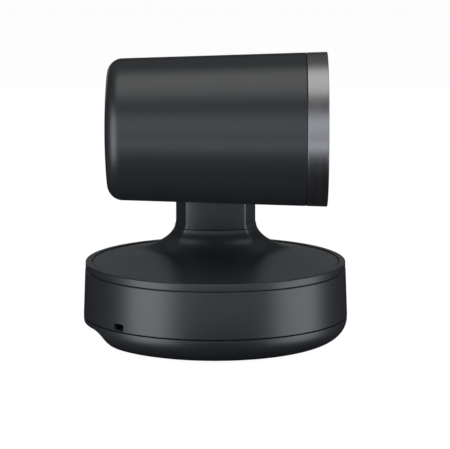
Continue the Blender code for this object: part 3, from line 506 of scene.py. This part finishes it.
def make_screw(node, axis, face, tip, look):
    """A screw from its head's face to its tip, along an axis, with a ring for each turn of its thread."""
    inward = 1.0 if tip > face else -1.0
    head_r = 2.6 * MM
    head = 1.0 * MM
    outline = softened([
        (0.0, face, 0.0), (head_r - 0.4 * MM, face, 0.2 * MM), (head_r, face + inward * 0.5 * MM, 0.2 * MM),
        (head_r, face + inward * head, 0.1 * MM), (1.15 * MM, face + inward * head, 0.1 * MM)], closed=False)
    pitch = 0.8 * MM
    root_r, crest_r = 0.95 * MM, 1.18 * MM
    ridge = face + inward * (head + pitch)
    while (tip - ridge) * inward > pitch:
        outline += [(root_r, ridge), (crest_r, ridge + inward * pitch * 0.4),
                    (root_r, ridge + inward * pitch * 0.8)]
        ridge += inward * pitch
    outline += [(0.8 * MM, tip), (0.0, tip)]
    screw = turned("lobed_" + node, outline, axis, 32, closed=False)
    carve(screw, lobed_socket(axis, 1.15 * MM, face - inward * 0.5 * MM, face + inward * 0.7 * MM))
    install(screw, node, look)


def tripod_thread(look):
    """Threaded insert: the bore's wall is a true helix, a height field over angle and height."""
    node = "tripod_insert"
    bottom, top = low(node, 2), high(node, 2)
    pitch = 1.27 * MM
    around = 72
    rows = 90
    bore_r = 3.1 * MM
    depth = 0.45 * MM
    shape = bmesh.new()
    grid = []
    for row in range(rows + 1):
        height = bottom + (top - bottom) * row / rows
        fade = min(1.0, (height - bottom) / (0.6 * MM), (top - height) / (0.6 * MM))
        ring = []
        for step in range(around):
            phase = (height / pitch - step / around) % 1.0
            ridge = 1.0 - abs(2.0 * phase - 1.0)
            radius = bore_r + depth * (1 - ridge * fade) * 0.5
            angle = 2 * math.pi * step / around
            ring.append(shape.verts.new((radius * math.cos(angle), radius * math.sin(angle), height)))
        grid.append(ring)
    outer = softened([(8 * MM, bottom, 0.2 * MM), (8 * MM, 4 * MM, 0.0), (10 * MM, 4 * MM, 0.2 * MM),
                      (10 * MM, 5.5 * MM, 0.2 * MM), (5.5 * MM, 5.5 * MM, 0.0), (5.5 * MM, top, 0.2 * MM)],
                     closed=False)
    for radius, height in reversed(outer):
        grid.append([shape.verts.new((radius * math.cos(2 * math.pi * step / around),
                                      radius * math.sin(2 * math.pi * step / around), height))
                     for step in range(around)])
    for lower, upper in zip(grid, grid[1:] + grid[:1]):
        bridge(shape, lower, upper)
    install(solid("threaded_insert", shape), node, look)


def button(look):
    """Pairing button with a dished face."""
    node = "pairing_button"
    face = low(node, 0)
    axis = along_x(middle(node, 1), middle(node, 2))
    cap_r, flange_r = 1.8 * MM, 2.8 * MM
    flange, back = face + 3.2 * MM, face + 4.2 * MM
    dish = [(1.15 * MM * step / 6, face + 0.22 * MM * (1 - (step / 6) ** 2)) for step in range(7)]
    outline = dish + softened([
        (1.4 * MM, face, 0.0), (cap_r, face, 0.25 * MM), (cap_r, flange, 0.1 * MM),
        (flange_r, flange, 0.1 * MM), (flange_r, back, 0.1 * MM), (0.0, back, 0.0)], closed=False)
    install(turned("dished_button", outline, axis, SMALL, closed=False), node, look)


# ---------------------------------------------------------------- turntable and arm

# The neck's near side bulges by CROWN over CROWN_HALF to each side, then turns through a shoulder, a chamfer
# and a round corner. The flare is how far the neck's foot spreads over the disc.
CROWN = 2.6 * MM
CROWN_HALF = 16.5 * MM
SHOULDER_R = 2.5 * MM
CHAMFER = math.radians(60)
SIDE_R = 9.0 * MM
FAR_CORNER = 3.0 * MM
FLARE_SIDE = 25.5 * MM
FLARE_FACE = 22.0 * MM
FLARE_SIDE_TOP_Z = 62.7 * MM
FLARE_LIMIT_R = 68.5 * MM


def bend(x, y, radius, start, end, steps):
    """Round stretch of the neck's section as (x, y, azimuth), azimuth turning from -Y towards +X."""
    points = []
    for step in range(steps + 1):
        azimuth = start + (end - start) * step / steps
        points.append((x + radius * math.sin(azimuth), y - radius * math.cos(azimuth), azimuth))
    return points


def neck_side():
    """Near side of the neck's section: crown, shoulder, chamfer and round corner."""
    crown_r = (CROWN_HALF ** 2 + CROWN ** 2) / (2 * CROWN)
    lean = math.asin(CROWN_HALF / crown_r)
    crown = bend(0.0, NECK_NEAR_Y + crown_r, crown_r, 0.0, lean, 8)
    shoulder_x = CROWN_HALF - SHOULDER_R * math.sin(lean)
    shoulder_y = NECK_NEAR_Y + CROWN + SHOULDER_R * math.cos(lean)
    shoulder = bend(shoulder_x, shoulder_y, SHOULDER_R, lean, CHAMFER, 6)[1:]
    corner_x = NECK_HALF - SIDE_R
    chamfer_end_x = corner_x + SIDE_R * math.sin(CHAMFER)
    chamfer_end_y = shoulder[-1][1] + (chamfer_end_x - shoulder[-1][0]) * math.tan(CHAMFER)
    corner_y = chamfer_end_y + SIDE_R * math.cos(CHAMFER)
    return crown + shoulder + bend(corner_x, corner_y, SIDE_R, CHAMFER, math.pi / 2, 8)


def neck_outline():
    """Whole cross-section of the neck as (x, y, azimuth)."""
    far = bend(NECK_HALF - FAR_CORNER, NECK_FAR_Y - FAR_CORNER, FAR_CORNER, math.pi / 2, math.pi, 8)
    right = neck_side() + [(NECK_HALF, 51 * MM, math.pi / 2)] + far
    right += [(14 * MM, NECK_FAR_Y, math.pi), (7 * MM, NECK_FAR_Y, math.pi)]
    left = [(-x, y, -azimuth) for x, y, azimuth in reversed(right[1:])]
    return right + [(0.0, NECK_FAR_Y, math.pi)] + left


def flare_share(z, top_z):
    """Share of the flare's full reach at a height: all of it at the disc, none from top_z up."""
    rise = (top_z - z) / (top_z - DISC_TOP_Z)
    rise = min(max(rise, 0.0), 1.0)
    return 1.0 - math.sqrt(1.0 - rise * rise)


def flare_at(x, y, azimuth, z):
    """How far a point of the neck's section moves out at a height; drawn in near the disc's edge."""
    reach_x = FLARE_SIDE * math.sin(azimuth)
    reach_y = -FLARE_FACE * math.cos(azimuth)
    square = reach_x ** 2 + reach_y ** 2
    along = x * reach_x + y * reach_y
    room = (math.sqrt(along ** 2 + square * (FLARE_LIMIT_R ** 2 - x ** 2 - y ** 2)) - along) / square
    room = min(room, 1.0)
    return (reach_x * room * flare_share(z, FLARE_SIDE_TOP_Z), reach_y * room * flare_share(z, NECK_SEAM_Z))


def neck_ring(section, z, shrink=0.0):
    """The neck's flared section at a height, drawn in by shrink for a softened edge."""
    ring = []
    for x, y, azimuth in section:
        out_x, out_y = flare_at(x, y, azimuth, z)
        ring.append((x + out_x - shrink * math.sin(azimuth), y + out_y + shrink * math.cos(azimuth), z))
    return ring


def channel_ring(section, z):
    """Superelliptic mouth of the neck's channel, with a point for each point of the neck's section."""
    centre_y = (NECK_NEAR_Y + NECK_FAR_Y) / 2
    half_x, half_y = 17 * MM, 7 * MM
    power = 5
    ring = []
    for x, y, _ in section:
        across, along = x / half_x, (y - centre_y) / half_y
        reach = (abs(across) ** power + abs(along) ** power) ** (1 / power)
        ring.append((x / reach, centre_y + (y - centre_y) / reach, z))
    return ring


def turntable_rings():
    """Rings from the channel's lower mouth up to the neck's seam, over it and down the flare to the disc."""
    section = neck_outline()
    edge = 0.25 * MM
    rings = [channel_ring(section, DISC_BOTTOM_Z), channel_ring(section, NECK_SEAM_Z),
             neck_ring(section, NECK_SEAM_Z, edge), neck_ring(section, NECK_SEAM_Z - edge)]
    steps = 20
    sweep = math.radians(75)
    lift = NECK_SEAM_Z - edge - DISC_TOP_Z
    for step in range(1, steps + 1):
        rise = (1 - math.cos(sweep * (1 - step / steps))) / (1 - math.cos(sweep))
        rings.append(neck_ring(section, DISC_TOP_Z + lift * rise))
    return rings


def turntable(look):
    """Disc whose top sweeps up into the neck, with a channel for the arm's frame and cables."""
    rings = turntable_rings()
    shape = bmesh.new()
    rows = [[shape.verts.new(point) for point in ring] for ring in rings]
    for lower, upper in zip(rows, rows[1:]):
        bridge(shape, lower, upper)
    flat_r = DISC_R - 2 * MM
    rounding = softened([(flat_r, DISC_TOP_Z, 0.0), (DISC_R, DISC_TOP_Z, 0.5 * MM),
                         (DISC_R, DISC_BOTTOM_Z, 0.3 * MM), (flat_r, DISC_BOTTOM_Z, 0.0)], closed=False)
    discs = [turned_row(shape, radius, height, upright(), WIDE) for radius, height in rounding]
    for lower, upper in zip(discs, discs[1:]):
        bridge(shape, lower, upper)
    for loop_a, loop_b in ((rows[-1], discs[0]), (rows[0], discs[-1])):
        fill_between(shape, loop_a, loop_b)
    install(solid("turntable_disc", shape), "turntable_cover", look)


def fill_between(shape, loop_a, loop_b):
    """Fill the flat area between two closed loops of vertices."""
    edges = []
    for loop in (loop_a, loop_b):
        for index, vertex in enumerate(loop):
            following = loop[(index + 1) % len(loop)]
            edges.append(shape.edges.get((vertex, following)) or shape.edges.new((vertex, following)))
    bmesh.ops.triangle_fill(shape, use_beauty=True, use_dissolve=False, edges=edges)


def stadium(half_width, bottom_z, spread):
    """Side-on outline of the arm as (x, z): legs that spread at the foot and a half circle on top."""
    right = []
    for step in range(7):
        z = bottom_z + (FLARE_SIDE_TOP_Z - bottom_z) * step / 6
        right.append((half_width + spread * flare_share(z, FLARE_SIDE_TOP_Z), z))
    right.append((half_width, (FLARE_SIDE_TOP_Z + TILT_Z) / 2))
    left = [(-x, z) for x, z in reversed(right)]
    return left + right + arc((0.0, TILT_Z), (half_width, half_width), 0, 180, 40)


def arm_loft(name, profile, bottom_z, spread=FLARE_SIDE):
    """Loft stadiums along Y through a profile of (half width, y, azimuth)."""
    rings = []
    for half, y, azimuth in profile:
        rings.append([(x, y, z) for x, z in stadium(half, bottom_z, spread * math.sin(azimuth))])
    return lofted(name, rings)


def drawn_in(profile, depth):
    """A profile of the neck moved inwards by a depth."""
    return [(x - depth * math.sin(azimuth), y + depth * math.cos(azimuth), azimuth)
            for x, y, azimuth in profile]


def arm_front(look):
    """Near shell of the arm, hollow, with its crowned face and the seat of the hub."""
    tip = 0.4 * MM
    side = math.pi / 2
    split = high("arm_shell", 1)
    near = [(max(x, tip), y, azimuth) for x, y, azimuth in neck_side()]
    near += [(NECK_HALF, split - 0.2 * MM, side), (NECK_HALF - 0.15 * MM, split, side)]
    shell = arm_loft("arm_front", near, NECK_BOTTOM_Z)
    inner = [(max(x, tip), y, azimuth) for x, y, azimuth in drawn_in(neck_side(), WALL)]
    inner.append((NECK_HALF - WALL, 70 * MM, side))
    seat_r = high("hub_collar", 0) + 1 * MM
    seat_end = NECK_NEAR_Y + CROWN + 1 * MM
    seat = softened([(0.0, NECK_NEAR_Y, 0.0), (seat_r, NECK_NEAR_Y, 0.5 * MM), (seat_r, seat_end, 0.0),
                     (0.0, seat_end, 0.0)], closed=False)
    carve(shell, turned("hub_seat", seat, along_y(), MIDDLE, closed=False), operation='UNION')
    hole = [(0.0, 20 * MM), (7.6 * MM, 20 * MM), (7.6 * MM, 40 * MM), (0.0, 40 * MM)]
    carve(shell, arm_loft("hollow", inner, 50 * MM, spread=0.0),
          turned("shaft_hole", hole, along_y(), SMALL, closed=False))
    install(shell, "arm_shell", look)


def arm_back(look):
    """Cover on the far side of the arm, with a pocket inside and two stepped screw holes."""
    side = math.pi / 2
    start = low("arm_cover", 1)
    rounded = bend(NECK_HALF - FAR_CORNER, NECK_FAR_Y - FAR_CORNER, FAR_CORNER, side, math.pi, 10)
    profile = [(NECK_HALF - 0.15 * MM, start, side), (NECK_HALF, start + 0.2 * MM, side)] + rounded
    cover = arm_loft("arm_back", profile, NECK_BOTTOM_Z)
    pocket = [(NECK_HALF - WALL, y, side) for y in (40 * MM, NECK_FAR_Y - WALL)]
    cutters = [arm_loft("pocket", pocket, NECK_BOTTOM_Z + WALL, spread=0.0)]
    seat_y = 55.9 * MM
    hole = [(0.0, 60 * MM), (3.25 * MM, 60 * MM), (3.25 * MM, NECK_FAR_Y), (3.0 * MM, NECK_FAR_Y - 0.25 * MM),
            (3 * MM, seat_y), (1.5 * MM, seat_y), (1.5 * MM, 50 * MM), (0.0, 50 * MM)]
    for node in ("arm_screw_1", "arm_screw_2"):
        cutters.append(turned("screw_hole", hole, along_y(0.0, middle(node, 2)), SMALL, closed=False))
    carve(cover, *cutters)
    install(cover, "arm_cover", look)


def hub(look):
    """Round hub between the head and the arm."""
    node = "hub_collar"
    start, end = low(node, 1), high(node, 1)
    outer, bore = high(node, 0), 7.3 * MM
    outline = softened([(outer, start, 0.3 * MM), (outer, end, 0.8 * MM),
                        (bore, end, 0.2 * MM), (bore, start, 0.2 * MM)])
    install(turned("tilt_hub", outline, along_y(), MIDDLE), node, look)


# ---------------------------------------------------------------- head

def head_radius(x):
    """Outer radius of the tapered head at a place along it."""
    return HEAD_FRONT_R - HEAD_TAPER * (HEAD_FRONT_X - x)


def drum(look):
    """Tapered drum with a softly domed back and round rear corner."""
    rear, front = low("head_shell", 0), high("head_shell", 0)
    corner, dome = 9.0 * MM, 1.4 * MM
    side_x = rear + dome + corner
    flat_r = head_radius(side_x) - corner
    outer = arc((flat_r, side_x), (corner, corner), 275, 360, 18)
    back = [(outer[0][0] * step / 10, rear + dome * (step / 10) ** 2) for step in range(10)]
    sides = [(head_radius(x), x) for x in (-30 * MM, 0.0, 30 * MM)]
    lip = softened([(head_radius(0.0), 0.0, 0.0), (head_radius(front), front, 0.3 * MM),
                    (head_radius(front) - WALL, front, 0.2 * MM),
                    (head_radius(side_x) - WALL, side_x, 0.0)], closed=False)[1:]
    inner = arc((flat_r, side_x), (corner - WALL, corner - WALL), 360, 275, 8)[1:]
    outline = back + outer + sides + lip + inner + [(0.0, rear + WALL)]
    shell = turned("head_drum", outline, along_x(), WIDE, closed=False)
    hole = [(0.0, 15 * MM), (14.3 * MM, 15 * MM), (14.3 * MM, 45 * MM), (0.0, 45 * MM)]
    carve(shell, turned("hub_hole", hole, along_y(), MIDDLE, closed=False))
    install(shell, "head_shell", look)


def bezel(look):
    """Metal ring round the front, with a bevelled lip."""
    node = "front_bezel"
    seam, front = low(node, 0), high(node, 0)
    inner = 41.0 * MM
    outline = softened([
        (head_radius(seam), seam, 0.25 * MM), (HEAD_FRONT_R - 0.02 * MM, front, 0.35 * MM),
        (inner + 1.0 * MM, front, 0.25 * MM), (inner, front - 0.7 * MM, 0.2 * MM), (inner, seam, 0.2 * MM)])
    install(turned("bezel_ring", outline, along_x(), WIDE), node, look)


def front_window(look):
    """Front glass with a slightly domed face."""
    node = "front_glass"
    back, front = low(node, 0), high(node, 0)
    radius = (high(node, 1) - low(node, 1)) / 2
    edge = 0.3 * MM
    sag = 0.35 * MM
    dome = [(radius * step / 10 * 0.985, front - sag * (step / 10) ** 2) for step in range(11)]
    side = softened([(0.0, back, 0.0), (radius, back, edge), (radius, front - sag, edge * 0.5),
                     dome[-1] + (0.0,)], closed=False)[1:-1]
    outline = [(0.0, back)] + side + list(reversed(dome))
    install(turned("window_disc", outline, along_x(), WIDE, closed=False), node, look)


def baffle(look):
    """Stepped light baffle that leads in to the lens."""
    node = "front_baffle"
    outer, inner = 40.6 * MM, 22.6 * MM
    thickness = 1.2 * MM
    rim_x, throat_x = high(node, 0), low(node, 0) + thickness
    steps = 9
    outline = []
    for step in range(steps):
        radius = outer + (inner - outer) * step / steps
        ledge_x = rim_x + (throat_x - rim_x) * step / steps
        next_x = rim_x + (throat_x - rim_x) * (step + 1) / steps
        outline += [(radius, ledge_x), (radius - 0.1 * MM, next_x)]
    outline += [(inner, throat_x), (inner, throat_x - thickness), (outer, rim_x - thickness)]
    install(turned("stepped_baffle", outline, along_x(), MIDDLE), node, look)


def lens_parts(looks):
    """Ring, barrel and glass of the lens."""
    node = "lens_trim_ring"
    back, front = low(node, 0), high(node, 0)
    inner, outer = 18.4 * MM, 22.2 * MM
    outline = softened([(inner, back, 0.2 * MM), (outer, back, 0.2 * MM), (outer, front - 0.8 * MM, 0.3 * MM),
                        (20.8 * MM, front, 0.4 * MM), (inner, front - 2.8 * MM, 0.3 * MM)])
    install(turned("lens_ring", outline, along_x(), MIDDLE), node, looks["dark_bezel_metal"])

    node = "lens_barrel"
    back, front = low(node, 0), high(node, 0)
    outer, bore = 18.0 * MM, 15.6 * MM
    outline = softened([(bore, back, 0.2 * MM), (outer, back, 0.3 * MM), (outer, front, 0.4 * MM),
                        (bore + 0.8 * MM, front, 0.2 * MM)])
    for groove in range(5):
        x = front - (0.3 + 0.5 * groove) * MM
        outline += [(bore + 0.5 * MM, x), (bore + 0.05 * MM, x - 0.25 * MM)]
    install(turned("barrel", outline, along_x(), MIDDLE), node, looks["black_trim"])

    bulges = {"front_lens": (1.5 * MM, 3.2 * MM), "zoom_lens": (1.8 * MM, 1.8 * MM),
              "focus_lens": (1.0 * MM, 1.0 * MM)}
    for node, (bulge_back, bulge_front) in bulges.items():
        outline = lens_outline(node, bulge_back, bulge_front)
        install(turned("glass_" + node, outline, along_x(), MIDDLE, closed=False), node, looks["coated_lens"])


def lens_outline(node, bulge_back, bulge_front):
    """Half outline of a biconvex lens: two shallow curves and a straight rim."""
    radius = (high(node, 1) - low(node, 1)) / 2
    back, front = low(node, 0), high(node, 0)
    steps = 14
    shares = [step / steps for step in range(steps + 1)]
    rear = [(radius * share, back + bulge_back * share ** 2) for share in shares]
    face = [(radius * share, front - bulge_front * share ** 2) for share in reversed(shares)]
    return rear + face


# ---------------------------------------------------------------- pieces kept from the CAD model

def finish_kept_nodes(looks):
    """Every CAD piece that still shows gets its material, except the lock slot's insert, which is painted
    dark as shade inside the slot; moulded or cut edges get a small round.
    """
    softer = {"port_plate": 0.25, "hdmi_port": 0.12, "usb_port": 0.1, "power_jack": 0.15, "serial_port": 0.15,
              "security_slot_insert": 0.12, "status_light": 0.25, "main_board": 0.1, "sensor_board": 0.1,
              "processor_board": 0.1, "heat_sink": 0.15, "head_chassis": 0.4}
    # Painted shade: the lock slot's insert gets near-black steel instead of its own bright steel, so the slot
    # reads as a dark shaded recess.
    painted_slot_shade_steel = surface("steel_painted_dark_as_slot_shade", (0.05, 0.05, 0.055), 0.45, 1.0, grain=1600.0, relief=0.004 * MM)
    for node, piece in frame["nodes"].items():
        look = painted_slot_shade_steel if node == "security_slot_insert" else looks[NODE_SLOT[node]]
        piece.data.materials.clear()
        piece.data.materials.append(look)
        if node in softer:
            bevel = piece.modifiers.new("edge", 'BEVEL')
            bevel.width = softer[node] * MM
            bevel.segments = 3
            bevel.limit_method = 'ANGLE'
            bevel.angle_limit = math.radians(40)


# ---------------------------------------------------------------- studio

def aim(thing, target):
    """Turn a light so that it points at a place."""
    direction = Vector(target) - thing.location
    thing.rotation_euler = direction.to_track_quat('-Z', 'Y').to_euler()


def softbox(name, place, target, size, power, colour):
    """A rectangular area light pointed at a target."""
    lamp = bpy.data.lights.new(name, 'AREA')
    lamp.shape = 'RECTANGLE'
    lamp.size, lamp.size_y = size
    lamp.energy = power
    lamp.color = colour
    light = bpy.data.objects.new(name, lamp)
    light.location = place
    aim(light, target)
    light.visible_camera = False
    bpy.context.scene.collection.objects.link(light)


def lights():
    """Tall boxes left and right of the front, one overhead, and smaller ones in front, behind and below."""
    cool = (0.90, 0.95, 1.0)
    warm = (1.0, 1.0, 0.97)
    centre = (0.0, 0.0, 0.08)
    softbox("left_box", polar(-58, 1.0, 0.02), centre, (0.72, 1.1), 10.5, cool)
    softbox("right_box", polar(74, 1.0, 0.02), centre, (0.84, 1.1), 10.0, cool)
    softbox("top_box", (0.0, -0.12, 1.0), centre, (1.2, 0.8), 5.6, warm)
    softbox("front_panel", (0.0, -0.62, -0.02), (0.0, -0.62, 1.0), (0.9, 0.50), 3.2, cool)
    softbox("front_card", (0.0, -0.40, 0.23), (0.0, 0.0, 0.13), (0.6, 0.20), 0.55, cool)
    softbox("back_box", (0.0, 0.75, 0.75), centre, (1.4, 0.5), 0.35, cool)
    softbox("back_strip", (0.0, 1.1, 0.17), (0.0, 0.0, 0.05), (1.6, 0.16), 0.6, cool)


def polar(azimuth, distance, height):
    """A place at an azimuth from the front of the set, which is along -Y; positive is to the right."""
    angle = math.radians(azimuth)
    return (distance * math.sin(angle), -distance * math.cos(angle), height)


def floor():
    """Pale floor that shows in the view and takes soft shadows, but doesn't light the object from below."""
    shape = bmesh.new()
    bmesh.ops.create_grid(shape, x_segments=1, y_segments=1, size=8.0)
    mesh = bpy.data.meshes.new("floor")
    shape.to_mesh(mesh)
    shape.free()
    material = bpy.data.materials.new("pale_floor")
    material.use_nodes = True
    shader = material.node_tree.nodes["Principled BSDF"]
    shader.inputs["Base Color"].default_value = (0.12, 0.12, 0.12, 1.0)
    shader.inputs["Roughness"].default_value = 0.9
    shader.inputs["Specular IOR Level"].default_value = 0.0
    shader.inputs["Emission Color"].default_value = (1.0, 1.0, 1.0, 1.0)
    shader.inputs["Emission Strength"].default_value = 0.97
    mesh.materials.append(material)
    plane = bpy.data.objects.new("floor", mesh)
    plane.visible_diffuse = False
    plane.visible_glossy = False
    plane.visible_transmission = False
    plane.visible_shadow = False
    bpy.context.scene.collection.objects.link(plane)


def surroundings():
    """White beyond the floor for the view, and a dim room for light and reflections."""
    world = bpy.data.worlds.new("studio")
    bpy.context.scene.world = world
    world.use_nodes = True
    nodes = world.node_tree.nodes
    links = world.node_tree.links
    nodes.clear()
    room = nodes.new("ShaderNodeBackground")
    room.inputs["Color"].default_value = (0.9, 0.95, 1.0, 1.0)
    room.inputs["Strength"].default_value = 0.003
    white = nodes.new("ShaderNodeBackground")
    white.inputs["Color"].default_value = (1.0, 1.0, 1.0, 1.0)
    path = nodes.new("ShaderNodeLightPath")
    mix = nodes.new("ShaderNodeMixShader")
    output = nodes.new("ShaderNodeOutputWorld")
    links.new(path.outputs["Is Camera Ray"], mix.inputs["Fac"])
    links.new(room.outputs["Background"], mix.inputs[1])
    links.new(white.outputs["Background"], mix.inputs[2])
    links.new(mix.outputs["Shader"], output.inputs["Surface"])


def camera():
    """Long lens ten degrees above level, in front of the base and looking along +Y."""
    data = bpy.data.cameras.new("camera")
    data.lens = 250.6
    data.sensor_width = 36.0
    data.clip_end = 20.0
    thing = bpy.data.objects.new("camera", data)
    thing.location = (5.5 * MM, -1773.8 * MM, 380.0 * MM)
    thing.rotation_euler = (math.radians(90 - 9.97), 0.0, 0.0)
    bpy.context.scene.collection.objects.link(thing)
    bpy.context.scene.camera = thing
    bpy.context.scene.view_settings.view_transform = 'Standard'


def build():
    """Put together the camera, the looks, every visible piece and the studio."""
    camera()
    looks = make_looks()
    shell = looks["graphite_shell"]
    base_band(shell)
    rim(shell)
    bowl(shell)
    feet(looks["foot_rubber"])
    screws(looks["bright_steel"])
    tripod_thread(looks["brass_parts"])
    button(looks["button_plastic"])
    turntable(shell)
    arm_front(shell)
    arm_back(shell)
    hub(looks["black_trim"])
    drum(shell)
    bezel(looks["dark_bezel_metal"])
    front_window(looks["smoked_glass"])
    baffle(looks["black_trim"])
    lens_parts(looks)
    finish_kept_nodes(looks)
    lights()
    floor()
    surroundings()


build()
